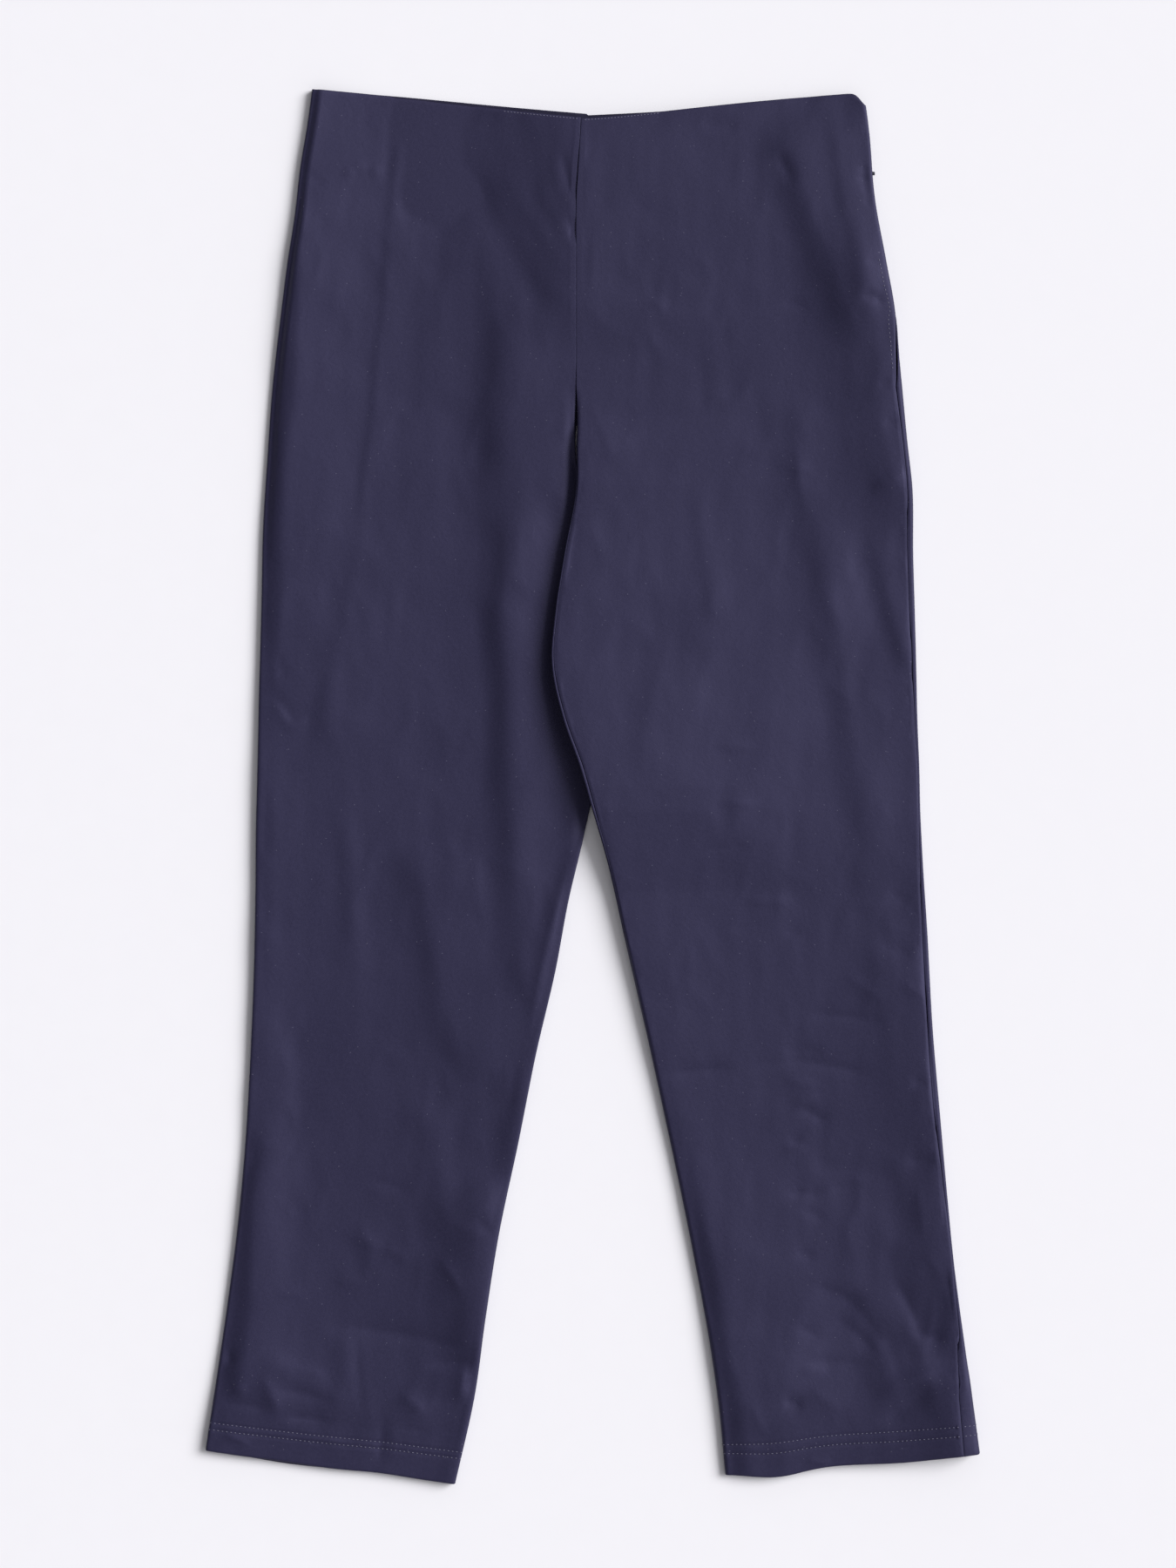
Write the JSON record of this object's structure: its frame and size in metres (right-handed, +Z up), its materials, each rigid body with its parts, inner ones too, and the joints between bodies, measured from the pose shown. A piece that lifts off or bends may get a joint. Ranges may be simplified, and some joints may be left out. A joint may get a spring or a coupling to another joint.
{
  "type": "straight-leg trousers laid flat",
  "caption": "Flat straight-leg trousers, front up, with a faced waist, a side zip, and turned-up hems with twin stitching. The left leg lies over the right at the crotch.",
  "frame": {"origin": "bottom centre of the bounding box: the trousers lie front up on a surface at z = 0", "axes": "+Y along the legs towards the waist, +X towards the wearer's left side, +Z up out of the front"},
  "size_m": [0.5146, 0.9286, 0.0122],
  "materials": {
    "front_sateen": "dark navy stretch cotton sateen, soft low sheen",
    "back_sateen": "dark navy stretch cotton sateen, soft low sheen",
    "facing_sateen": "inner side of the dark navy sateen, matt",
    "zip_tape": "woven polyester zip tape with a nylon coil",
    "slider_enamel": "dark navy enamel on a small metal slider"
  },
  "bodies": {
    "root": {"front_right": "front_sateen", "front_left": "front_sateen", "back_right": "back_sateen", "back_left": "back_sateen", "back_waist_facing": "facing_sateen", "side_zip": "zip_tape", "zip_slider": "slider_enamel"}
  },
  "joints": []
}
